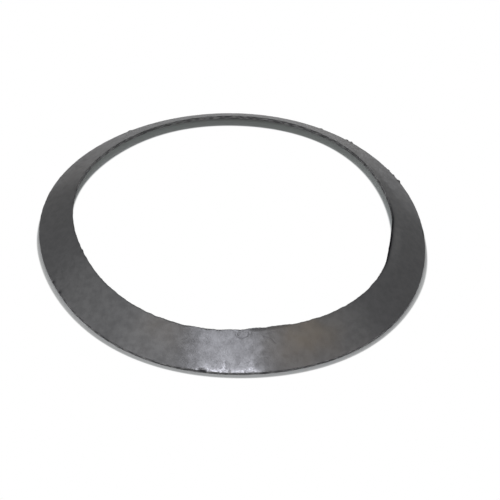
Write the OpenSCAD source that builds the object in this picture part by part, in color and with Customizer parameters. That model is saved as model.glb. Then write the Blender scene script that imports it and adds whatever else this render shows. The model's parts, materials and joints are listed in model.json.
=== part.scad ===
// Conical exhaust gasket for the joint of a diesel particulate filter.
//
// One sheet ring formed into a shallow truncated cone, made as a single revolved section.
// It lies on its wide rim, with the narrow rim clear of the table. The origin is the centre
// of the circle it rests on, and +Z is its axis, from the wide rim to the narrow one.

/* [Ring] */
// Diameter over the wide rim, mm
outer_d = 280; // [120:1:400]
// Diameter of the gas opening at the narrow rim, mm
inner_d = 232; // [80:1:360]
// How far the narrow rim stands above the wide rim, mm
rise = 15; // [4:0.5:40]
// Thickness of the sheet, square to its faces, mm
sheet_t = 2.4; // [1.2:0.1:5]

/* [Edges] */
// Height taken off the wide rim's lower corner for its flat seat, mm
seat_trim = 0.9; // [0.3:0.1:1.5]
// Radius on each corner of the two cut rims, mm
corner_r = 0.35; // [0.1:0.05:0.45]

/* [Hidden] */
$fn = 180;

// Radii of the two cut rims
outer_r = outer_d / 2;
inner_r = inner_d / 2;

// Slope of the cone, from the table
slope = atan2(rise, outer_r - inner_r);

// Height of an upright cut through the sheet
cut_h = sheet_t / cos(slope);

// Height of the wide rim's wall above its seat, and the seat's width
rim_h = cut_h - seat_trim;
seat_w = seat_trim / tan(slope);

// Levels of the narrow rim's wall
bore_top = rim_h + rise;
bore_bottom = bore_top - cut_h;

// Straight segments in each rounded corner
corner_steps = 4;

// Graphite grey
graphite = [0.33, 0.33, 0.34];

// Unit vector from point a to point b
function toward(a, b) = (b - a) / norm(b - a);

// Points of a round of radius r on the convex corner p, which lies between its neighbours a and b
// of an anticlockwise outline. The arc starts on the side that comes from a.
function round_points(a, p, b, r) =
    let (
        to_a = toward(p, a),
        to_b = toward(p, b),
        half = acos(to_a * to_b) / 2,
        centre = p + toward([0, 0], to_a + to_b) * r / sin(half),
        first = atan2(-to_a[0], to_a[1]) - 180,
        sweep = 180 - 2 * half
    )
    [for (i = [0 : corner_steps])
        let (turn = first + sweep * i / corner_steps)
        centre + r * [cos(turn), sin(turn)]];

// The outline with every corner rounded
function rounded(points, r) =
    let (n = len(points))
    [for (i = [0 : n - 1])
        each round_points(points[(i + n - 1) % n], points[i], points[(i + 1) % n], r)];

// Corners of the sheet's section, anticlockwise from the seat's inner edge: radius, height
section = [
    [outer_r - seat_w, 0],
    [outer_r, 0],
    [outer_r, rim_h],
    [inner_r, bore_top],
    [inner_r, bore_bottom],
];

// The whole gasket: the section turned about the axis
module gasket_ring() {
    color(graphite)
        rotate_extrude()
            polygon(rounded(section, corner_r));
}

gasket_ring();
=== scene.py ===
"""Dresses the conical gasket: one graphite sheet ring that lies on a pale table in soft studio light."""

import json
import logging
import math
from dataclasses import dataclass
from enum import Enum
from functools import cached_property

import bmesh
import bpy
from mathutils import Matrix, Vector, noise

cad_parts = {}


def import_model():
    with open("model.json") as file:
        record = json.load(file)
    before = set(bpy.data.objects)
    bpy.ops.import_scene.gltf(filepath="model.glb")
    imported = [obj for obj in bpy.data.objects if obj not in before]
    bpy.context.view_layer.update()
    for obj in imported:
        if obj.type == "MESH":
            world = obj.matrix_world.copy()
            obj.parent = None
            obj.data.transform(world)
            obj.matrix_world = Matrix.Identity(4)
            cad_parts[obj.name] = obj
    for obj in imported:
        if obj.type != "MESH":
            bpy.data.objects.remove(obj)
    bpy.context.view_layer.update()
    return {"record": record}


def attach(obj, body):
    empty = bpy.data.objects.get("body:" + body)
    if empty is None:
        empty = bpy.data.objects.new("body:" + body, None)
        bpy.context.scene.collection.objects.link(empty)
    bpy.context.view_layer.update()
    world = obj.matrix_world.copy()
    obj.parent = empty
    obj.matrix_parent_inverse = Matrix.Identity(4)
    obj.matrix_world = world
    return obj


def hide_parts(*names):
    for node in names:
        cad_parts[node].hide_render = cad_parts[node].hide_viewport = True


LOG = logging.getLogger("gasket")
MM = 0.001
UP = Vector((0.0, 0.0, 1.0))

Colour = tuple[float, float, float]
Point = tuple[float, float, float]
Span = tuple[float, float]
Turns = dict[bmesh.types.BMVert, Vector]

BLACK: Colour = (0.0, 0.0, 0.0)
WHITE: Colour = (1.0, 1.0, 1.0)
WHOLE: Span = (0.0, 1.0)


class Corner(Enum):
    """The corners of the sheet's section, anticlockwise from the seat's inner edge."""

    SEAT_INSIDE = "seat_inside"
    SEAT_OUTSIDE = "seat_outside"
    RIM_TOP = "rim_top"
    BORE_TOP = "bore_top"
    BORE_BOTTOM = "bore_bottom"


class Surface(Enum):
    """Which finish a face of the ring takes, by its material slot on the mesh."""

    FACING = 0
    CUT_EDGE = 1


class Mask(Enum):
    """The masks that a mesh carries for its finish, by the names of its attributes."""

    RUB = "rub"
    TARNISH = "tarnish"
    # Where the ring is darkened: torn margin and nicks, and painted shade in the marks and along the
    # stretch in shadow.
    DARK = "dark"
    # Where the table is plain white rather than a painted shadow strip.
    CLEAR = "clear"
    # Where the painted shadow strip lies under the ring.
    UNDER = "under"


def ease(value: float) -> float:
    """Rises smoothly from 0, where the value is 0 or less, to 1, where it is 1 or more."""
    share = min(1.0, max(0.0, value))
    return share * share * (3.0 - 2.0 * share)


def bell(distance: float, width: float) -> float:
    """Fades smoothly from 1 at no distance to nearly nothing at two widths."""
    return math.exp(-((distance / width) ** 2))


def turn_from(centre_deg: float, bearing: float) -> float:
    """Gives the short way round from a bearing in degrees to one in radians, in radians."""
    return math.remainder(bearing - math.radians(centre_deg), math.tau)


def arc_from(centre_deg: float, bearing: float, radius: float) -> float:
    """Gives the distance along a circle from a bearing in degrees to one in radians."""
    return turn_from(centre_deg, bearing) * radius


def place_object(
    name: str, bm: bmesh.types.BMesh, materials: list[bpy.types.Material]
) -> bpy.types.Object:
    """Turns a finished mesh into an object at the origin.

    Args:
        name: The name of the object and of its mesh.
        bm: The mesh, which is freed.
        materials: Its finishes, in the order of its slots.

    Returns:
        The object.
    """
    mesh = bpy.data.meshes.new(name)
    bm.to_mesh(mesh)
    bm.free()
    for material in materials:
        mesh.materials.append(material)
    placed = bpy.data.objects.new(name, mesh)
    bpy.context.scene.collection.objects.link(placed)
    return placed


@dataclass(frozen=True)
class NoiseLayer:
    """Even noise: its blotches' width, how many finer layers they have, and how strong those are."""

    size: float
    detail: float
    rough: float


# Wide clouds, small mottles and fine grain make up the uneven surface of pressed graphite.
MOTTLE_LAYERS = {
    "Cloud": NoiseLayer(26 * MM, 2.0, 0.5),
    "Mottle": NoiseLayer(5 * MM, 3.0, 0.6),
    "Grain": NoiseLayer(1 * MM, 2.0, 0.6),
}


class Wiring:
    """A node tree that is being wired: makes nodes, sets their inputs and links them.

    The Mix node repeats its sockets' names for each kind of data, so those for colours go by number.
    """

    MIX_SHARE = 0
    MIX_FIRST = 6
    MIX_SECOND = 7
    MIX_RESULT = 2

    def __init__(self, tree: bpy.types.NodeTree) -> None:
        """Keeps the tree that the nodes go into."""
        self.tree = tree

    def feed(self, socket: bpy.types.NodeSocket, value: object) -> None:
        """Links an output to an input, or sets the input's own value.

        Args:
            socket: The input to feed.
            value: An output socket, a number, or a colour or vector.
        """
        if isinstance(value, bpy.types.NodeSocket):
            self.tree.links.new(value, socket)
        elif socket.type == "RGBA":
            socket.default_value = (*value, 1.0)
        else:
            socket.default_value = value

    def add(self, kind: str, inputs: dict[str | int, object], **settings: object) -> bpy.types.Node:
        """Makes one node.

        Args:
            kind: The node's type.
            inputs: What each input takes, by name or number.
            settings: The node's own properties.

        Returns:
            The node.
        """
        node = self.tree.nodes.new(kind)
        for name, value in settings.items():
            setattr(node, name, value)
        for key, value in inputs.items():
            self.feed(node.inputs[key], value)
        return node

    def mix(self, share: object, first: object, second: object) -> bpy.types.NodeSocket:
        """Mixes two colours.

        Args:
            share: How much of the second colour shows.
            first: The colour at share 0.
            second: The colour at share 1.

        Returns:
            The mixed colour.
        """
        inputs = {self.MIX_SHARE: share, self.MIX_FIRST: first, self.MIX_SECOND: second}
        return self.add("ShaderNodeMix", inputs, data_type="RGBA").outputs[self.MIX_RESULT]

    def math(self, operation: str, *values: object) -> bpy.types.NodeSocket:
        """Works out one sum, product or the like.

        Args:
            operation: Blender's name for it.
            values: Its numbers or outputs.

        Returns:
            The result.
        """
        node = self.add("ShaderNodeMath", dict(enumerate(values)), operation=operation)
        return node.outputs[0]

    def ramp(self, value: object, span: Span, result: Span = WHOLE) -> bpy.types.NodeSocket:
        """Turns one range of a value smoothly into another.

        Args:
            value: The output to read.
            span: Where the ramp starts and where it ends.
            result: What it gives up to its start and from its end on.

        Returns:
            The ramped value.
        """
        low, high = span
        at_low, at_high = result
        node = self.add(
            "ShaderNodeMapRange",
            {"Value": value, "From Min": low, "From Max": high, "To Min": at_low, "To Max": at_high},
            interpolation_type="SMOOTHSTEP",
        )
        return node.outputs["Result"]

    def noise(self, place: object, layer: NoiseLayer) -> bpy.types.NodeSocket:
        """Makes even noise, about 0 to 1.

        Args:
            place: The coordinates, in metres.
            layer: What the noise is like.

        Returns:
            The noise.
        """
        inputs = {"Scale": 1.0 / layer.size, "Detail": layer.detail, "Roughness": layer.rough}
        return self.add("ShaderNodeTexNoise", {"Vector": place, **inputs}).outputs["Fac"]

    def mask(self, mask: Mask) -> bpy.types.NodeSocket:
        """Reads one of the mesh's own masks."""
        return self.add("ShaderNodeAttribute", {}, attribute_name=mask.value).outputs["Fac"]


def mottle_group() -> bpy.types.NodeTree:
    """Builds the group for pressed graphite's uneven surface.

    Returns:
        A group that turns a place into one mask for each of the surface's layers.
    """
    group = bpy.data.node_groups.new("pressed_mottle", "ShaderNodeTree")
    group.interface.new_socket("Place", in_out="INPUT", socket_type="NodeSocketVector")
    for name in MOTTLE_LAYERS:
        group.interface.new_socket(name, in_out="OUTPUT", socket_type="NodeSocketFloat")
    wires = Wiring(group)
    place = wires.add("NodeGroupInput", {}).outputs["Place"]
    masks = {name: wires.noise(place, layer) for name, layer in MOTTLE_LAYERS.items()}
    wires.add("NodeGroupOutput", masks)
    return group


def start_finish(name: str) -> tuple[bpy.types.Material, Wiring, bpy.types.Node]:
    """Starts a material that has one shader.

    Args:
        name: The material's name.

    Returns:
        The material, its wiring and its shader.
    """
    material = bpy.data.materials.new(name)
    material.use_nodes = True
    return material, Wiring(material.node_tree), material.node_tree.nodes["Principled BSDF"]


@dataclass(frozen=True)
class FineRelief:
    """A finish's fine relief: its shares of mottle and grain, how strong it is and how deep."""

    mottle: float
    grain: float
    strength: float
    depth: float

    def build(
        self, wires: Wiring, mottle: bpy.types.NodeSocket, grain: bpy.types.NodeSocket
    ) -> bpy.types.NodeSocket:
        """Wires the relief.

        Args:
            wires: The material's wiring.
            mottle: The mask for the mottles.
            grain: The mask for the grain.

        Returns:
            The surface's normal.
        """
        mottle_height = wires.math("MULTIPLY", mottle, self.mottle)
        grain_height = wires.math("MULTIPLY", grain, self.grain)
        height = wires.math("ADD", mottle_height, grain_height)
        bump = {"Strength": self.strength, "Distance": self.depth, "Height": height}
        return wires.add("ShaderNodeBump", bump).outputs["Normal"]


@dataclass(frozen=True)
class GraphiteFacing:
    """The pressed graphite of the two cones: dark grey, faintly mottled, dull with a burnished sheen.

    A span says where on a mask a change starts and ends. A gain is a factor and what is added after it.
    """

    grey: Colour = (0.096, 0.096, 0.097)
    pale: Colour = (0.112, 0.112, 0.113)
    mottle_span: Span = (0.3, 0.7)
    tarnished: Colour = (0.152, 0.126, 0.092)
    tarnish_span: Span = (0.3, 0.6)
    least_tarnish: float = 0.4
    rubbed: Colour = (0.40, 0.40, 0.42)
    flakes: NoiseLayer = NoiseLayer(1.4 * MM, 3.0, 0.7)
    flake_gain: Span = (1.6, 0.2)
    rub_span: Span = (0.15, 0.75)
    # The darkest colour: it paints the torn margin and the nicks, and also painted shade in the marks
    # and on the stretch in shadow.
    torn: Colour = (0.006, 0.006, 0.009)
    torn_gain: Span = (1.0, 0.5)
    metallic: float = 0.62
    rubbed_metallic: float = 0.9
    edge_tint: Colour = (0.68, 0.68, 0.69)
    roughness: Span = (0.63, 0.57)
    roughness_span: Span = (0.25, 0.75)
    coat: float = 0.122
    coat_spread: float = 0.2
    coat_rub_gain: Span = (2.0, 1.0)
    speckle_span: Span = (0.32, 0.68)
    speckle_gain: Span = (0.6, 0.2)
    coat_roughness: float = 0.20
    coat_ior: float = 3.0
    relief: FineRelief = FineRelief(mottle=0.6, grain=0.4, strength=0.10, depth=0.2 * MM)

    def sheen(
        self, wires: Wiring, spots: bpy.types.NodeSocket, grain: bpy.types.NodeSocket
    ) -> bpy.types.NodeSocket:
        """Wires how strong the burnished sheen is: uneven, speckled, and stronger where it is rubbed.

        Args:
            wires: The material's wiring.
            spots: The mask for the mottles.
            grain: The mask for the grain.

        Returns:
            The sheen's weight.
        """
        worn = wires.mask(Mask.RUB)
        weights = (self.coat * (1.0 - self.coat_spread), self.coat * (1.0 + self.coat_spread))
        burnish = wires.ramp(spots, self.mottle_span, weights)
        burnish = wires.math("MULTIPLY", burnish, wires.math("MULTIPLY_ADD", worn, *self.coat_rub_gain))
        speckle = wires.ramp(grain, self.speckle_span, (-1.0, 1.0))
        sparkle = wires.math("MULTIPLY_ADD", worn, *self.speckle_gain)
        sparkle = wires.math("MULTIPLY_ADD", speckle, sparkle, 1.0)
        return wires.math("MULTIPLY", burnish, wires.math("MAXIMUM", sparkle, 0.0))

    def build(self, mottle: bpy.types.NodeTree) -> bpy.types.Material:
        """Wires the material.

        Args:
            mottle: The group for the uneven surface.

        Returns:
            The material.
        """
        material, wires, shader = start_finish("graphite_facing")
        place = wires.add("ShaderNodeTexCoord", {}).outputs["Object"]
        uneven = wires.add("ShaderNodeGroup", {"Place": place}, node_tree=mottle)
        cloud, spots, grain = (uneven.outputs[name] for name in MOTTLE_LAYERS)

        flakes = wires.math("MULTIPLY_ADD", wires.noise(place, self.flakes), *self.flake_gain)
        rubbing = wires.ramp(wires.math("MULTIPLY", wires.mask(Mask.RUB), flakes), self.rub_span)
        # The dark mask, which holds painted shade as well as tears, darkens the sheet and takes away its
        # sheen.
        shreds = wires.math("MULTIPLY_ADD", spots, *self.torn_gain)
        torn = wires.math("MINIMUM", wires.math("MULTIPLY", wires.mask(Mask.DARK), shreds), 1.0)
        patches = wires.ramp(cloud, self.tarnish_span, (self.least_tarnish, 1.0))
        stain = wires.math("MULTIPLY", wires.mask(Mask.TARNISH), patches)

        sheet = wires.mix(wires.ramp(spots, self.mottle_span), self.grey, self.pale)
        sheet = wires.mix(stain, sheet, self.tarnished)
        sheet = wires.mix(rubbing, sheet, self.rubbed)
        wires.feed(shader.inputs["Base Color"], wires.mix(torn, sheet, self.torn))
        metal = wires.ramp(rubbing, WHOLE, (self.metallic, self.rubbed_metallic))
        wires.feed(shader.inputs["Metallic"], wires.math("MAXIMUM", metal, torn))
        wires.feed(shader.inputs["Specular Tint"], self.edge_tint)
        wires.feed(shader.inputs["Roughness"], wires.ramp(spots, self.roughness_span, self.roughness))
        sheen = self.sheen(wires, spots, grain)
        coat = wires.math("MULTIPLY", sheen, wires.math("SUBTRACT", 1.0, torn))
        wires.feed(shader.inputs["Coat Weight"], coat)
        shader.inputs["Coat Roughness"].default_value = self.coat_roughness
        shader.inputs["Coat IOR"].default_value = self.coat_ior
        wires.feed(shader.inputs["Normal"], self.relief.build(wires, spots, grain))
        return material


@dataclass(frozen=True)
class CutEdge:
    """The sheared rims: darker and rougher than the faces, torn along the sheet's layers."""

    sheared: Colour = (0.030, 0.030, 0.031)
    layered: Colour = (0.170, 0.170, 0.167)
    layers: float = 5.0
    layer_span: Span = (0.42, 0.66)
    # The darkest colour, also used for painted shade.
    torn: Colour = (0.006, 0.006, 0.008)
    roughness: Span = (0.85, 0.65)
    roughness_span: Span = (0.3, 0.7)
    relief: FineRelief = FineRelief(mottle=0.7, grain=0.3, strength=0.6, depth=0.4 * MM)

    def build(self, mottle: bpy.types.NodeTree) -> bpy.types.Material:
        """Wires the material.

        Args:
            mottle: The group for the uneven surface.

        Returns:
            The material.
        """
        material, wires, shader = start_finish("cut_edge")
        place = wires.add("ShaderNodeTexCoord", {}).outputs["Object"]
        flat = wires.add("ShaderNodeMapping", {"Vector": place, "Scale": (1.0, 1.0, self.layers)})
        uneven = wires.add("ShaderNodeGroup", {"Place": flat.outputs["Vector"]}, node_tree=mottle)
        layers = uneven.outputs["Mottle"]
        grain = uneven.outputs["Grain"]
        sheet = wires.mix(wires.ramp(layers, self.layer_span), self.sheared, self.layered)
        # The dark mask paints the rim towards the torn colour: tears, and painted shade where the cut
        # edge lies in shadow.
        torn = wires.math("MINIMUM", wires.mask(Mask.DARK), 1.0)
        wires.feed(shader.inputs["Base Color"], wires.mix(torn, sheet, self.torn))
        wires.feed(shader.inputs["Roughness"], wires.ramp(grain, self.roughness_span, self.roughness))
        wires.feed(shader.inputs["Normal"], self.relief.build(wires, layers, grain))
        return material


@dataclass(frozen=True)
class TableTop:
    """The pale table: white to the eye, apart from strips of painted shadow under and close in front of
    the ring.

    Those strips show the ring's real shadow on the lit floor, darkened further by painted shade, with a
    faint painted glow under the ring. The table's mesh says where they are. From below it is clear.
    """

    # Painted shade colours for the eye in the strips under and in front of the ring, and a faint painted
    # glow under it.
    under: Colour = (0.48, 0.505, 0.50)
    painted_under_glow: Colour = (0.066, 0.071, 0.070)
    painted_front_shadow: Colour = (0.435, 0.442, 0.43)
    mirrored: Colour = (1.14, 1.14, 1.14)
    lit: Colour = (0.85, 0.85, 0.85)
    beyond_span: Span = (0.20, 0.40)

    def build(self) -> bpy.types.Material:
        """Wires the material.

        Returns:
            The material.
        """
        material, wires, shader = start_finish("table_top")
        path = wires.add("ShaderNodeLightPath", {}).outputs
        seen = path["Is Camera Ray"]
        mirror = wires.math("MAXIMUM", path["Is Glossy Ray"], path["Is Transmission Ray"])
        place = wires.add("ShaderNodeTexCoord", {}).outputs["Object"]
        radius = wires.add("ShaderNodeVectorMath", {0: place}, operation="LENGTH").outputs["Value"]

        # In the strips the eye sees the lit floor darkened by painted shade, with a faint painted glow
        # under the ring.
        under = wires.mask(Mask.UNDER)
        colour = wires.mix(seen, self.lit, wires.mix(under, self.painted_front_shadow, self.under))
        colour = wires.mix(mirror, colour, self.mirrored)
        clear = wires.math("MULTIPLY", seen, wires.ramp(wires.mask(Mask.CLEAR), WHOLE))
        beyond = wires.math("MULTIPLY", mirror, wires.ramp(radius, self.beyond_span))
        bright = wires.math("MAXIMUM", clear, beyond)
        wires.feed(shader.inputs["Base Color"], wires.mix(bright, colour, BLACK))
        painted_glow = wires.mix(wires.math("MULTIPLY", seen, under), BLACK, self.painted_under_glow)
        wires.feed(shader.inputs["Emission Color"], wires.mix(bright, painted_glow, WHITE))
        shader.inputs["Emission Strength"].default_value = 1.0
        below = wires.add("ShaderNodeNewGeometry", {}).outputs["Backfacing"]
        wires.feed(shader.inputs["Alpha"], wires.math("SUBTRACT", 1.0, below))
        shader.inputs["Roughness"].default_value = 1.0
        shader.inputs["Specular IOR Level"].default_value = 0.0
        return material


@dataclass(frozen=True)
class Section:
    """The sheet's section, in metres: two cones a sheet apart, between two upright cut rims."""

    outer_r: float
    bore_r: float
    rise: float = 15 * MM
    sheet: float = 2.4 * MM
    seat_trim: float = 0.9 * MM
    corner_r: float = 0.35 * MM

    @cached_property
    def slope(self) -> float:
        """The cone's slope from the table, in radians."""
        return math.atan2(self.rise, self.outer_r - self.bore_r)

    @property
    def slant(self) -> float:
        """The length of the upper cone's face, from the wide rim to the narrow one."""
        return self.rise / math.sin(self.slope)

    @property
    def cut_h(self) -> float:
        """The height of an upright cut through the sheet."""
        return self.sheet / math.cos(self.slope)

    @property
    def rim_h(self) -> float:
        """The height of the wide rim's wall above the seat."""
        return self.cut_h - self.seat_trim

    @cached_property
    def corners(self) -> dict[Corner, Vector]:
        """The corners' places in the section, each by its radius and its height.

        Returns:
            The place of each corner.
        """
        seat_r = self.outer_r - self.seat_trim / math.tan(self.slope)
        bore_top = self.rim_h + self.rise
        return {
            Corner.SEAT_INSIDE: Vector((seat_r, 0.0)),
            Corner.SEAT_OUTSIDE: Vector((self.outer_r, 0.0)),
            Corner.RIM_TOP: Vector((self.outer_r, self.rim_h)),
            Corner.BORE_TOP: Vector((self.bore_r, bore_top)),
            Corner.BORE_BOTTOM: Vector((self.bore_r, bore_top - self.cut_h)),
        }

    def outward(self, corner: Corner) -> Vector:
        """Gives the way out of the sheet at an upper corner.

        Args:
            corner: The wide or the narrow rim's upper corner.

        Returns:
            The direction halfway between the upper cone's face and the rim's wall, as radius and height.
        """
        wall = 1.0 if corner is Corner.RIM_TOP else -1.0
        return Vector((math.sin(self.slope) + wall, math.cos(self.slope))).normalized()

    def upper_share(self, point: Vector) -> float:
        """Says how far across the upper cone a point lies: 0 at the wide rim, 1 at the narrow rim."""
        return (self.outer_r - point.x) / (self.outer_r - self.bore_r)

    def is_upper(self, point: Vector) -> bool:
        """Says whether a point of the section lies above the sheet's middle."""
        return point.y > self.rim_h - self.cut_h / 2 + self.upper_share(point) * self.rise


@dataclass(frozen=True)
class Lobe:
    """One wave of a line's slight want of roundness."""

    count: int
    height: float
    peak_deg: float

    def push(self, bearing: float) -> float:
        """Says how far outwards the line stands at a bearing, in radians."""
        return self.height * math.cos(self.count * (bearing - math.radians(self.peak_deg)))


def out_of_round(lobes: tuple[Lobe, ...], bearing: float) -> float:
    """Says how far outwards all of a line's waves push it at a bearing, in radians."""
    return sum(lobe.push(bearing) for lobe in lobes)


@dataclass(frozen=True)
class Stretch:
    """A stretch of a rim, by its middle's bearing and its half length, that fades in at both ends."""

    middle_deg: float
    half_deg: float
    fade_deg: float

    def share(self, bearing: float) -> float:
        """Says how fully a bearing, in radians, lies on the stretch, from 0 to 1."""
        turn = abs(math.degrees(turn_from(self.middle_deg, bearing)))
        return ease((self.half_deg - turn) / self.fade_deg)


@dataclass(frozen=True)
class Raggedness:
    """How a torn rim strays along its length: long waves, and a share of short ones on them.

    The level picks the noise, so that two rims differ.
    """

    long: float
    short: float
    short_share: float
    level: float

    def stray(self, bearing: float, radius: float) -> float:
        """Says how far the rim strays at a bearing, in radians, about -1 to 1."""
        circle = Vector((math.cos(bearing), math.sin(bearing), self.level)) * radius
        return noise.noise(circle / self.long) + self.short_share * noise.noise(circle / self.short)


@dataclass(frozen=True)
class Nick:
    """A small bite out of an upper corner, or a burr on it where the depth is below zero."""

    corner: Corner
    bearing_deg: float
    width: float
    depth: float
    # How dark the mesh is painted round the nick. In a bite this stands for the dark cut wall showing
    # there, and is partly painted shade.
    dark: float = 1.0
    power: float = 2.0

    def shape(self, arc: float) -> float:
        """Says how fully it is there at a distance along the rim from its middle, from 0 to 1."""
        return max(0.0, 1.0 - abs(2.0 * arc / self.width) ** self.power)


@dataclass(frozen=True)
class Stroke:
    """A polished stroke that runs up the cone from the wide rim."""

    bearing_deg: float
    half_width: float
    reach: float
    strength: float

    def mask(self, arc: float, gap: float) -> float:
        """Says how polished the sheet is at a distance along the rim and up the cone."""
        return self.strength * bell(arc, self.half_width) * bell(gap, self.reach)


@dataclass(frozen=True)
class PressMark:
    """A shallow oval ring pressed into the upper cone by the narrow rim, with a faint second stroke.

    The lip, the second stroke, the dip and the foot of the painted shade go by shares of the way out to
    the oval's line.
    """

    bearing_deg: float = -84.6
    share: float = 0.885
    half_length: float = 3.8 * MM
    half_width: float = 2.2 * MM
    depth: float = 0.08 * MM
    lip: float = 0.2
    second: float = 1.5
    second_height: float = 0.6
    dip: float = 0.6
    # How dark the painted shade in the foot of the lip is, and how it leans: most on the downhill side.
    painted_shade: float = 0.42
    painted_shade_foot: float = 1.15
    painted_shade_even: float = 0.5
    painted_shade_downhill: float = 0.5
    painted_shade_sideways: float = 0.2
    least_reach: float = 0.05

    def reach(self, along: float, across: float) -> float:
        """Says how far out a place lies, where 1 is on the oval's line."""
        return math.hypot(along / self.half_length, across / self.half_width)

    def rise(self, along: float, across: float) -> float:
        """Gives the mark's height at a place.

        Args:
            along: Distance along the rim from the mark's middle.
            across: Distance up the cone from the mark's middle.

        Returns:
            The height over the cone, below zero in the dip inside the lip.
        """
        reach = self.reach(along, across)
        raised = bell(reach - 1.0, self.lip)
        if along > 0.0:
            sideways = along / math.hypot(along, across)
            raised += self.second_height * sideways * bell(reach - self.second, self.lip)
        return self.depth * (raised - math.exp(-((reach / self.dip) ** 4)))

    def dark(self, along: float, across: float) -> float:
        """Says how dark the painted shade in the foot of the mark's lip is at a place: most on its
        downhill side.

        Args:
            along: Distance along the rim from the mark's middle.
            across: Distance up the cone from the mark's middle.

        Returns:
            The darkness, from 0 to 1.
        """
        reach = self.reach(along, across)
        lean = self.painted_shade_downhill * across / self.half_width
        lean += self.painted_shade_sideways * along / self.half_length
        weight = self.painted_shade_even - lean / max(reach, self.least_reach)
        return self.painted_shade * weight * bell(reach - self.painted_shade_foot, self.lip)


@dataclass(frozen=True)
class Crease:
    """A fine handling crease across the upper cone, from one place to another, with painted shade along
    it.
    """

    from_deg: float
    from_share: float
    to_deg: float
    to_share: float
    width: float = 0.8 * MM
    depth: float = 0.05 * MM
    # How dark the painted shade along the crease is.
    painted_shade: float = 0.24

    def mask(self, start: Vector, end: Vector) -> float:
        """Says how fully a place lies on the crease.

        Args:
            start: The way to the place from the crease's first end, along the rim and up the cone.
            end: The same from its second end.

        Returns:
            The share, from 0 to 1 on the crease's line.
        """
        line = start - end
        reach = min(1.0, max(0.0, start.dot(line) / line.length_squared))
        return bell(2.0 * (start - line * reach).length, self.width)


@dataclass(frozen=True)
class Tarnish:
    """A faint warm stain on the upper cone."""

    bearing_deg: float
    half_deg: float
    share: float
    half_share: float
    strength: float

    def mask(self, bearing: float, share: float) -> float:
        """Gives the stain's strength at a place.

        Args:
            bearing: The bearing there, in radians.
            share: How far across the cone it is, from the wide rim.

        Returns:
            The strength, 0 to 1.
        """
        turn = math.degrees(turn_from(self.bearing_deg, bearing))
        reach = math.hypot(turn / self.half_deg, (share - self.share) / self.half_share)
        return self.strength * bell(reach, 1.0)


@dataclass(frozen=True)
class BoreTear:
    """The narrow rim's torn margin: a dark ragged line, partly painted shade, with a lip into the
    opening on one side.

    The margin is wider and fainter on the far side of the ring, and blackened along one stretch, where
    the blackening is painted shade of a cut edge in shadow.
    """

    margin: float = 0.8 * MM
    far_margin: float = 1.6 * MM
    margin_sway: float = 0.8
    least_margin_share: float = 0.2
    strength: float = 0.5
    far_strength: float = 0.15
    reach: float = 8.0 * MM
    ragged: float = 0.45 * MM
    tears: Raggedness = Raggedness(long=6.0 * MM, short=1.8 * MM, short_share=0.6, level=0.3)
    lip: Stretch = Stretch(-9.0, 15.0, 12.0)
    lip_stand: float = 1.45 * MM
    shoulder: Stretch = Stretch(3.0, 50.0, 40.0)
    shoulder_stand: float = 1.7 * MM
    lip_reach: float = 4.0 * MM
    # The stretch where the cut edge lies in shadow, blackened with painted shade.
    painted_black_shade: Stretch = Stretch(-6.5, 24.5, 16.0)
    painted_black_margin: float = 1.5 * MM
    painted_black_strength: float = 1.4

    def bite(self, bearing: float, radius: float) -> float:
        """Gives the tear's depth at a place on the rim, below zero where shreds stand out."""
        return self.ragged * self.tears.stray(bearing, radius)

    def dark(self, bearing: float, radius: float, gap: float) -> float:
        """Says how dark the face's margin is painted: torn edge, partly painted shade.

        Args:
            bearing: The bearing there, in radians.
            radius: The rim's radius.
            gap: The distance from the rim's upper corner.

        Returns:
            The darkness, 0 to 1, or over 1 on the stretch blackened by painted shade.
        """
        if gap > self.reach:
            return 0.0
        far = max(0.0, math.sin(bearing))
        width = self.margin + (self.far_margin - self.margin) * far
        sway = 1.0 + self.margin_sway * self.tears.stray(bearing, radius)
        width *= max(self.least_margin_share, sway)
        painted_black_shade = self.painted_black_shade.share(bearing)
        width += (self.painted_black_margin - width) * painted_black_shade
        strength = self.strength + (self.far_strength - self.strength) * far
        strength += (self.painted_black_strength - strength) * painted_black_shade
        return strength * bell(gap, width)

    def stand(self, bearing: float, from_bore: float) -> float:
        """Says how far the lip draws a point inwards.

        Args:
            bearing: The point's bearing, in radians.
            from_bore: Its distance from the bore's wall.

        Returns:
            The distance.
        """
        lip = self.lip_stand * self.lip.share(bearing)
        shoulder = self.shoulder_stand * self.shoulder.share(bearing)
        return (lip + shoulder) * bell(from_bore, self.lip_reach)


@dataclass(frozen=True)
class RimFlaking:
    """The ragged, rubbed stretch of the wide rim, and how much of that shows elsewhere round it."""

    worst: Stretch = Stretch(-88.3, 9.9, 4.0)
    elsewhere: float = 0.16
    depth: float = 0.6 * MM
    reach: float = 1.1 * MM
    flakes: Raggedness = Raggedness(long=3.4 * MM, short=1.2 * MM, short_share=0.7, level=0.0)
    flake_bias: float = 0.1
    rub: float = 0.6
    rub_reach: float = 1.6 * MM
    flecks: float = 0.3
    fleck_reach: float = 9.0 * MM

    def strength(self, bearing: float) -> float:
        """Says how strongly the rim is worn at a bearing, in radians, from 0 to 1."""
        return self.elsewhere + (1.0 - self.elsewhere) * self.worst.share(bearing)

    def rubbed(self, bearing: float, gap: float) -> float:
        """Says how bright the rim is rubbed at a bearing and a distance from its upper corner."""
        bright = self.rub * bell(gap, self.rub_reach) + self.flecks * math.exp(-gap / self.fleck_reach)
        return self.strength(bearing) * bright

    def bite(self, bearing: float, radius: float) -> float:
        """Gives the flaking's depth at a place on the rim, to take off the corner."""
        flaked = max(0.0, self.flakes.stray(bearing, radius) + self.flake_bias)
        return self.depth * self.strength(bearing) * flaked


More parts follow.
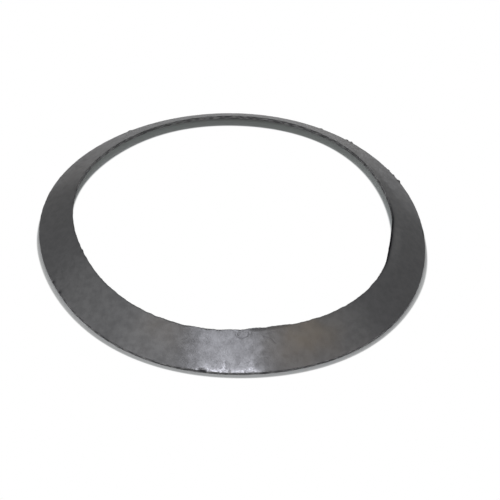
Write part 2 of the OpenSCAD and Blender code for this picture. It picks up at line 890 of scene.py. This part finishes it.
@dataclass(frozen=True)
class SheetRelief:
    """The sheet's own unevenness: low swells on its faces, and a torn line on its cut rims."""

    swell: float = 0.032 * MM
    swell_size: float = 13 * MM
    ripple: float = 0.007 * MM
    ripple_size: float = 3 * MM
    tear: float = 0.22 * MM
    tear_size: float = 4.5 * MM

    def face(self, place: Vector) -> float:
        """Gives the height of the swells and ripples at a place on a cone."""
        swell = self.swell * noise.noise(place / self.swell_size)
        return swell + self.ripple * noise.noise(place / self.ripple_size)

    def torn(self, place: Vector) -> float:
        """Gives how far a cut rim stands out at a place."""
        return self.tear * noise.noise(place / self.tear_size)


@dataclass
class GasketRing:
    """The whole gasket: a turned section with its wear worked into the mesh.

    A face takes the facing where its normal lies along a cone's by at least facing_along. The corners'
    wear is left out beyond worn_reaches times its reach, and the cone's marks beyond marks_reach.
    """

    section: Section
    front_deg: float = -90.0
    fine_sector_deg: float = 64.0
    fine_slices: int = 16
    plain_slices: int = 30
    slice_steps: int = 20
    corner_segments: int = 4
    upper_pitch: float = 0.52 * MM
    lower_pitch: float = 2.4 * MM
    weld: float = 0.01 * MM
    facing_along: float = 0.94
    lobes: tuple[Lobe, ...] = (
        Lobe(2, 0.30 * MM, 69.0),
        Lobe(3, 0.80 * MM, 58.0),
        Lobe(4, 0.75 * MM, -26.0),
        Lobe(5, 0.45 * MM, 29.0),
        Lobe(6, 0.15 * MM, 6.0),
    )
    bore_lobes: tuple[Lobe, ...] = (
        Lobe(1, 0.45 * MM, 73.0),
        Lobe(2, 0.15 * MM, -20.0),
        Lobe(3, 0.55 * MM, 11.5),
        Lobe(4, 0.10 * MM, -33.0),
    )
    nicks: tuple[Nick, ...] = (
        Nick(Corner.RIM_TOP, -95.1, 5.6 * MM, 0.5 * MM, power=4.0),
        Nick(Corner.RIM_TOP, -145.4, 2.4 * MM, 0.6 * MM),
        Nick(Corner.RIM_TOP, -150.0, 2.6 * MM, 0.7 * MM),
        Nick(Corner.RIM_TOP, 3.2, 16.0 * MM, -0.15 * MM),
        Nick(Corner.RIM_TOP, 28.4, 3.6 * MM, -0.9 * MM),
        Nick(Corner.RIM_TOP, 31.6, 2.4 * MM, -0.5 * MM),
        Nick(Corner.RIM_TOP, 34.4, 2.4 * MM, -0.5 * MM),
        Nick(Corner.RIM_TOP, 52.0, 3.0 * MM, -0.9 * MM),
        Nick(Corner.RIM_TOP, 53.7, 2.6 * MM, -0.8 * MM),
        Nick(Corner.RIM_TOP, 63.5, 2.6 * MM, -0.6 * MM),
        Nick(Corner.RIM_TOP, 130.2, 4.0 * MM, -0.5 * MM),
        Nick(Corner.BORE_TOP, -156.0, 2.4 * MM, 0.15 * MM, dark=0.5),
        Nick(Corner.BORE_TOP, -153.1, 4.0 * MM, -0.6 * MM, dark=0.4),
        Nick(Corner.BORE_TOP, -147.0, 2.4 * MM, 0.15 * MM, dark=0.5),
        Nick(Corner.BORE_TOP, -97.0, 36.0 * MM, 0.3 * MM, dark=0.15, power=6.0),
        Nick(Corner.BORE_TOP, -76.0, 30.0 * MM, -0.8 * MM, dark=0.3, power=10.0),
    )
    # How far the painted darkening round a nick reaches.
    nick_dark: float = 1.1 * MM
    strokes: tuple[Stroke, ...] = (
        Stroke(-89.7, 1.1 * MM, 8.0 * MM, 0.34),
        Stroke(-82.2, 2.4 * MM, 9.0 * MM, 0.22),
        Stroke(-94.4, 1.6 * MM, 4.0 * MM, 0.2),
    )
    flaking: RimFlaking = RimFlaking()
    tear: BoreTear = BoreTear()
    worn_reaches: float = 3.0
    relief: SheetRelief = SheetRelief()
    mark: PressMark = PressMark()
    creases: tuple[Crease, ...] = (
        Crease(-77.9, 0.81, -75.7, 0.74),
        Crease(-75.7, 0.74, -74.6, 0.63),
        Crease(-76.9, 0.86, -72.1, 0.91, depth=0.03 * MM, painted_shade=0.14),
    )
    marks_reach: float = 40 * MM
    stains: tuple[Tarnish, ...] = (
        Tarnish(-65.0, 10.0, 0.7, 0.7, 0.8),
        Tarnish(-109.0, 7.0, 0.8, 0.5, 0.3),
        Tarnish(55.0, 22.0, 0.5, 0.8, 0.1),
        Tarnish(160.0, 18.0, 0.5, 0.8, 0.12),
    )

    def outline(self, bm: bmesh.types.BMesh) -> list[bmesh.types.BMEdge]:
        """Draws the rounded section in the XZ plane.

        Args:
            bm: The mesh to draw in.

        Returns:
            The section's edges.
        """
        corners = []
        for corner in Corner:
            radius, height = self.section.corners[corner]
            corners.append(bm.verts.new((radius, 0.0, height)))
        for number, corner in enumerate(corners):
            bm.edges.new((corner, corners[(number + 1) % len(corners)]))
        turns = [corner.calc_edge_angle() for corner in corners]
        for corner, turn in zip(corners, turns):
            tangent = self.section.corner_r * math.tan(turn / 2)
            bmesh.ops.bevel(
                bm, geom=[corner], offset=tangent, offset_type="OFFSET", affect="VERTICES",
                segments=self.corner_segments, profile=0.5, material=-1,
            )
        for edge in list(bm.edges):
            middle = (edge.verts[0].co + edge.verts[1].co) / 2
            pitch = self.upper_pitch if self.section.is_upper(middle.xz) else self.lower_pitch
            bmesh.ops.subdivide_edges(bm, edges=[edge], cuts=int(edge.calc_length() / pitch))
        return list(bm.edges)

    def sector(self, start_deg: float, sweep_deg: float, slices: int) -> bpy.types.Mesh:
        """Turns the section through one sector: one slice is turned, and copies of it fill the rest.

        Args:
            start_deg: The bearing where the sector starts.
            sweep_deg: How far it goes round.
            slices: How many slices fill it.

        Returns:
            The sector's mesh, with the slices still apart.
        """
        bm = bmesh.new()
        edges = self.outline(bm)
        start = Matrix.Rotation(math.radians(start_deg), 3, "Z")
        bmesh.ops.rotate(bm, verts=bm.verts, cent=(0, 0, 0), matrix=start)
        slice_deg = sweep_deg / slices
        bmesh.ops.spin(
            bm, geom=edges, cent=(0, 0, 0), axis=UP, dvec=(0, 0, 0), angle=math.radians(slice_deg),
            steps=self.slice_steps, use_merge=False, use_duplicate=False,
        )
        bmesh.ops.spin(
            bm, geom=[*bm.verts, *bm.edges, *bm.faces], cent=(0, 0, 0), axis=UP, dvec=(0, 0, 0),
            angle=math.radians(sweep_deg - slice_deg), steps=slices - 1,
            use_merge=False, use_duplicate=True,
        )
        mesh = bpy.data.meshes.new("sector")
        bm.to_mesh(mesh)
        bm.free()
        return mesh

    def turn(self, bm: bmesh.types.BMesh) -> None:
        """Makes the true ring: finely across the worn front, plainly round the rest, and closed.

        Args:
            bm: The mesh to make it in.
        """
        start = self.front_deg - self.fine_sector_deg / 2
        end = start + self.fine_sector_deg
        fine = self.sector(start, self.fine_sector_deg, self.fine_slices)
        plain = self.sector(end, 360.0 - self.fine_sector_deg, self.plain_slices)
        for mesh in (fine, plain):
            bm.from_mesh(mesh)
            bpy.data.meshes.remove(mesh)
        bmesh.ops.remove_doubles(bm, verts=bm.verts, dist=self.weld)
        bmesh.ops.recalc_face_normals(bm, faces=bm.faces)
        # The spin lists its faces in a new order each run, and the sort makes every run the same.
        bm.verts.index_update()
        count = len(bm.verts)
        bm.faces.sort(key=lambda face: self.face_number(face, count))

    @staticmethod
    def face_number(face: bmesh.types.BMFace, count: int) -> int:
        """Numbers a face by its three earliest points, out of the mesh's count of points."""
        first, second, third = sorted(vert.index for vert in face.verts)[:3]
        return (first * count + second) * count + third

    def finish_faces(self, bm: bmesh.types.BMesh) -> None:
        """Gives the two cones the facing, and the cut rims and the seat the cut finish.

        Args:
            bm: The true ring, before it is worn.
        """
        slope = self.section.slope
        for face in bm.faces:
            out = face.calc_center_median().xy.normalized()
            along_cone = face.normal.xy.dot(out) * math.sin(slope) + face.normal.z * math.cos(slope)
            surface = Surface.FACING if abs(along_cone) > self.facing_along else Surface.CUT_EDGE
            face.material_index = surface.value
            face.smooth = True

    def worn_corner(self, corner: Corner, bearing: float) -> float:
        """Works out how deep an upper corner is worn.

        Args:
            corner: The wide or the narrow rim's upper corner.
            bearing: The bearing, in radians.

        Returns:
            The depth of the flaking and the nicks there.
        """
        radius = self.section.corners[corner].x
        wear = self.flaking if corner is Corner.RIM_TOP else self.tear
        depth = 0.0
        for nick in self.nicks:
            if nick.corner is corner:
                depth += nick.depth * nick.shape(arc_from(nick.bearing_deg, bearing, radius))
        return depth + wear.bite(bearing, radius)

    def marked_face(self, point: Vector, bearing: float) -> tuple[float, float]:
        """Works out what the press mark and the creases do to the upper cone at a point.

        Args:
            point: The point's radius and height.
            bearing: Its bearing, in radians.

        Returns:
            The height over the cone, and how dark the painted shade in the marks is.
        """
        along = arc_from(self.mark.bearing_deg, bearing, point.x)
        if abs(along) > self.marks_reach or not self.section.is_upper(point):
            return 0.0, 0.0
        share = self.section.upper_share(point)
        slant = self.section.slant
        across = (share - self.mark.share) * slant
        pressed = 0.0
        painted_shade = self.mark.dark(along, across)
        for crease in self.creases:
            start_arc = arc_from(crease.from_deg, bearing, point.x)
            end_arc = arc_from(crease.to_deg, bearing, point.x)
            start = Vector((start_arc, (share - crease.from_share) * slant))
            end = Vector((end_arc, (share - crease.to_share) * slant))
            on_crease = crease.mask(start, end)
            pressed = max(pressed, crease.depth * on_crease)
            painted_shade = max(painted_shade, crease.painted_shade * on_crease)
        return self.mark.rise(along, across) - pressed, painted_shade

    def rubbed(self, bearing: float, point: Vector) -> float:
        """Works out how bright the sheet is rubbed at a point.

        Args:
            bearing: The point's bearing, in radians.
            point: Its radius and height.

        Returns:
            The brightness, about 0 to 1.
        """
        gap = (point - self.section.corners[Corner.RIM_TOP]).length
        bright = self.flaking.rubbed(bearing, gap)
        for stroke in self.strokes:
            bright += stroke.mask(arc_from(stroke.bearing_deg, bearing, self.section.outer_r), gap)
        return bright

    def darkened(self, bearing: float, point: Vector) -> float:
        """Works out how dark a point is painted along the narrow rim's torn margin and round the nicks,
        partly as painted shade.

        Args:
            bearing: The point's bearing, in radians.
            point: Its radius and height.

        Returns:
            The darkness, 0 to 1, or over 1 on the stretch blackened by painted shade.
        """
        corner = self.section.corners[Corner.BORE_TOP]
        dark = self.tear.dark(bearing, corner.x, (point - corner).length)
        for nick in self.nicks:
            corner = self.section.corners[nick.corner]
            shape = nick.shape(arc_from(nick.bearing_deg, bearing, corner.x))
            if shape > 0.0:
                dark = max(dark, nick.dark * shape * bell((point - corner).length, self.nick_dark))
        return dark

    def worn_place(self, vert: bmesh.types.BMVert, point: Vector, bearing: float, lift: float) -> Vector:
        """Works out where wear, handling and the want of roundness leave a point of the true ring.

        Args:
            vert: The point.
            point: Its radius and height.
            bearing: Its bearing, in radians.
            lift: How far the marks on the upper cone lift it off the sheet.

        Returns:
            The place, never below the table.
        """
        out = Vector((math.cos(bearing), math.sin(bearing), 0.0))
        lift += self.relief.face(vert.co)
        lift += (1.0 - abs(vert.normal.z)) * self.relief.torn(vert.co)
        place = vert.co + vert.normal * lift
        for corner in (Corner.RIM_TOP, Corner.BORE_TOP):
            gap = (point - self.section.corners[corner]).length
            if gap < self.worn_reaches * self.flaking.reach:
                depth = self.worn_corner(corner, bearing) * bell(gap, self.flaking.reach)
                way = self.section.outward(corner) * depth
                place -= out * way.x + UP * way.y
        push = out_of_round(self.lobes, bearing)
        push += self.section.upper_share(point) * out_of_round(self.bore_lobes, bearing)
        place += out * (push - self.tear.stand(bearing, point.x - self.section.bore_r))
        place.z = max(0.0, place.z)
        return place

    def weather(self, bm: bmesh.types.BMesh) -> None:
        """Wears the true ring: moves its points, and gives them the masks for the finishes.

        Args:
            bm: The true ring.
        """
        rub, tarnish, dark = (
            bm.verts.layers.float.new(mask.value) for mask in (Mask.RUB, Mask.TARNISH, Mask.DARK)
        )
        bm.normal_update()
        for vert in bm.verts:
            bearing = math.atan2(vert.co.y, vert.co.x)
            point = Vector((vert.co.xy.length, vert.co.z))
            share = self.section.upper_share(point)
            mark_height, mark_shade = self.marked_face(point, bearing)
            vert[rub] = self.rubbed(bearing, point)
            # The dark mask takes the painted shade of the marks, and the darkening along the torn margin
            # and round the nicks.
            vert[dark] = max(mark_shade, self.darkened(bearing, point))
            vert[tarnish] = max(stain.mask(bearing, share) for stain in self.stains)
            vert.co = self.worn_place(vert, point, bearing, mark_height)

    def build(self, materials: list[bpy.types.Material]) -> bpy.types.Object:
        """Makes the ring's mesh and object.

        Args:
            materials: The finishes, in the order of Surface.

        Returns:
            The object, at the origin.
        """
        bm = bmesh.new()
        self.turn(bm)
        self.finish_faces(bm)
        self.weather(bm)
        return place_object("gasket_sheet", bm, materials)


@dataclass(frozen=True)
class Softbox:
    """One soft lamp of the studio."""

    name: str
    place: Point
    aim: Point
    width: float
    depth: float
    watts: float
    colour: Colour = WHITE

    def build(self) -> bpy.types.Object:
        """Makes the lamp.

        Returns:
            The lamp's object.
        """
        lamp = bpy.data.lights.new(self.name, "AREA")
        lamp.shape = "RECTANGLE"
        lamp.size = self.width
        lamp.size_y = self.depth
        lamp.energy = self.watts
        lamp.color = self.colour
        box = bpy.data.objects.new(self.name, lamp)
        box.location = self.place
        box.rotation_euler = (Vector(self.aim) - Vector(self.place)).to_track_quat("-Z", "Y").to_euler()
        bpy.context.scene.collection.objects.link(box)
        return box


@dataclass(frozen=True)
class Viewpoint:
    """The camera, by how it sees the ring's centre: right of, above and ahead of the lens."""

    elevation_deg: float = 42.80
    roll_deg: float = 4.05
    right: float = -11.33 * MM
    above: float = 15.06 * MM
    ahead: float = 837.35 * MM
    focal_px: float = 1150.0
    frame_px: float = 500.0
    sensor_mm: float = 36.0
    nearest: float = 10 * MM

    def build(self) -> bpy.types.Object:
        """Makes the camera.

        Returns:
            The camera's object.
        """
        lens = bpy.data.cameras.new("camera")
        lens.sensor_width = self.sensor_mm
        lens.lens = self.sensor_mm * self.focal_px / self.frame_px
        lens.clip_start = self.nearest
        camera = bpy.data.objects.new("camera", lens)
        pitch = Matrix.Rotation(math.radians(90.0 - self.elevation_deg), 4, "X")
        roll = Matrix.Rotation(math.radians(self.roll_deg), 4, "Z")
        facing = pitch @ roll
        centre = Vector((self.right, self.above, -self.ahead))
        camera.matrix_world = Matrix.Translation(-(facing @ centre)) @ facing
        bpy.context.scene.collection.objects.link(camera)
        return camera


@dataclass(frozen=True)
class ShadowLine:
    """A rim's outline drawn on the table as the edge of a painted shadow strip: wider, shifted, or
    dropped outwards in front.

    The drop starts a little behind the sides and is whole a little in front of them. It follows a sine,
    by its start, its gain and its turn.
    """

    radius: float
    lobes: tuple[Lobe, ...]
    scale: float = 1.0
    shift: Point = (0.0, 0.0, 0.0)
    drop: float = 0.0
    drop_start: float = 0.35
    drop_gain: float = 2.0
    drop_turn_deg: float = 2.0

    def place(self, turn: Vector, grow: float) -> Vector:
        """Gives the line's place on the table.

        Args:
            turn: The way out from its centre.
            grow: How far outside the line the place is.

        Returns:
            The place.
        """
        bearing = math.atan2(turn.y, turn.x)
        radius = self.radius + out_of_round(self.lobes, bearing)
        front = self.drop_start - self.drop_gain * math.sin(bearing + math.radians(self.drop_turn_deg))
        radius = radius * self.scale + self.drop * ease(front)
        return Vector(self.shift) + turn.normalized() * (radius + grow)


@dataclass
class Table:
    """The table that the ring lies on, with the lines of its painted shadow strips in the mesh.

    The bore's line is drawn shifted backwards, as a front lamp throws its shadow. The wide rim's line is
    drawn dropped in front, as light from behind throws its shadow.
    """

    section: Section
    finish: TableTop = TableTop()
    size: float = 20.0
    steps: int = 240
    bore_scale: float = 1.0067
    bore_shift: Point = (-0.27 * MM, 8.83 * MM, 0.0)
    bore_lobes: tuple[Lobe, ...] = (
        Lobe(1, 0.60 * MM, 111.0),
        Lobe(2, 0.25 * MM, 84.0),
        Lobe(3, 1.05 * MM, 48.0),
        Lobe(4, 1.20 * MM, -19.5),
        Lobe(5, 1.00 * MM, -31.5),
        Lobe(6, 0.30 * MM, 7.0),
    )
    bore_soft: float = 1.6 * MM
    bore_reach: float = 6.0 * MM
    rim_drop: float = 2.7 * MM
    rim_lobes: tuple[Lobe, ...] = (
        Lobe(2, 0.25 * MM, 84.0),
        Lobe(3, 0.55 * MM, 56.0),
        Lobe(4, 0.90 * MM, -29.0),
        Lobe(5, 0.20 * MM, 11.0),
        Lobe(6, 0.30 * MM, 7.0),
    )
    rim_soft: float = 1.2 * MM
    rim_reach: float = 3.0 * MM

    def widen(self, bm: bmesh.types.BMesh, turns: Turns) -> Turns:
        """Adds one more round of points outside the table's edge.

        Args:
            bm: The table's mesh.
            turns: The points on its edge, each with its way out from the centre.

        Returns:
            The new edge's points in the same way.
        """
        border = [edge for edge in bm.edges if edge.is_boundary]
        grown = bmesh.ops.extrude_edge_only(bm, edges=border)["geom"]
        points = [part for part in grown if isinstance(part, bmesh.types.BMVert)]
        wider = {}
        for point in points:
            within = (edge.other_vert(point) for edge in point.link_edges)
            wider[point] = next(turns[vert] for vert in within if vert in turns)
        return wider

    def build(self) -> bpy.types.Object:
        """Makes the table's mesh and object.

        Returns:
            The table's object.
        """
        bore = ShadowLine(self.section.bore_r, self.bore_lobes, self.bore_scale, self.bore_shift)
        rim = ShadowLine(self.section.outer_r, self.rim_lobes, drop=self.rim_drop)
        edge = ShadowLine(self.size, ())
        # Each round has its line, how far outside that it lies, and if it is clear and under the ring.
        # Between the clear rounds lie the painted shadow strips.
        rounds = (
            (bore, -self.bore_soft / 2, 1.0, 1.0),
            (bore, self.bore_soft / 2, 0.0, 1.0),
            (bore, self.bore_reach, 0.0, 1.0),
            (rim, -self.rim_reach, 0.0, 0.0),
            (rim, -self.rim_soft / 2, 0.0, 0.0),
            (rim, self.rim_soft / 2, 1.0, 0.0),
            (edge, 0.0, 1.0, 0.0),
        )
        bm = bmesh.new()
        clear, under = (bm.verts.layers.float.new(mask.value) for mask in (Mask.CLEAR, Mask.UNDER))
        bmesh.ops.create_circle(bm, cap_ends=True, segments=self.steps, radius=1.0)
        turns = {vert: vert.co.copy() for vert in bm.verts}
        for number, (line, grow, is_clear, is_under) in enumerate(rounds):
            if number > 0:
                turns = self.widen(bm, turns)
            for vert, turn in turns.items():
                vert.co = line.place(turn, grow)
                vert[clear] = is_clear
                vert[under] = is_under
        bmesh.ops.recalc_face_normals(bm, faces=bm.faces)
        table = place_object("table", bm, [self.finish.build()])
        return table


@dataclass
class Studio:
    """The pale table, the lamps and the camera."""

    section: Section
    world: Colour = (0.10, 0.10, 0.10)
    lamps: tuple[Softbox, ...] = (
        Softbox("key", (0.02, -0.48, 1.16), (0.0, -0.12, 0.0), 0.50, 0.60, 6.35, (0.90, 0.91, 1.0)),
        Softbox("left", (-1.0, 0.15, 1.1), (-0.1, -0.05, 0.0), 0.9, 0.9, 2.4),
        Softbox("left_front", (-0.7, -0.6, 1.1), (-0.05, -0.1, 0.0), 0.7, 0.7, 2.4),
        Softbox("right", (0.75, -0.35, 1.1), (0.05, -0.1, 0.0), 0.9, 0.9, 1.7, (1.0, 0.97, 0.94)),
        Softbox("back", (0.1, 1.25, 0.88), (0.0, -0.05, 0.0), 1.2, 0.35, 12.4, (1.0, 1.0, 0.97)),
        Softbox("fill", (0.0, -2.0, 0.7), (0.0, 0.05, 0.0), 2.0, 0.8, 10.0, (1.0, 0.99, 0.96)),
    )
    viewpoint: Viewpoint = Viewpoint()

    def build(self) -> None:
        """Sets up the light, the table and the camera."""
        scene = bpy.context.scene
        scene.view_settings.view_transform = "Standard"
        scene.world = bpy.data.worlds.new("studio")
        scene.world.use_nodes = True
        wires = Wiring(scene.world.node_tree)
        seen = wires.add("ShaderNodeLightPath", {}).outputs["Is Camera Ray"]
        background = scene.world.node_tree.nodes["Background"]
        wires.feed(background.inputs["Color"], wires.mix(seen, self.world, WHITE))
        for lamp in self.lamps:
            lamp.build()
        LOG.info("lamps: %s", ", ".join(lamp.name for lamp in self.lamps))
        Table(self.section).build()
        scene.camera = self.viewpoint.build()


def main() -> None:
    """Builds the ring and the studio, and reports each piece."""
    logging.basicConfig(level=logging.INFO)
    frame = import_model()
    rims = {mount["name"]: mount["dims"].get("r_mm", 0.0) * MM for mount in frame["record"]["mounts"]}
    section = Section(outer_r=rims["outer_rim"], bore_r=rims["gas_bore"])
    mottle = mottle_group()
    finishes = {Surface.FACING: GraphiteFacing(), Surface.CUT_EDGE: CutEdge()}
    piece = GasketRing(section).build([finishes[surface].build(mottle) for surface in Surface])
    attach(piece, "root")
    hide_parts("gasket_ring")
    LOG.info("%s: %d faces", piece.name, len(piece.data.polygons))
    Studio(section).build()


if __name__ == "__main__":
    main()
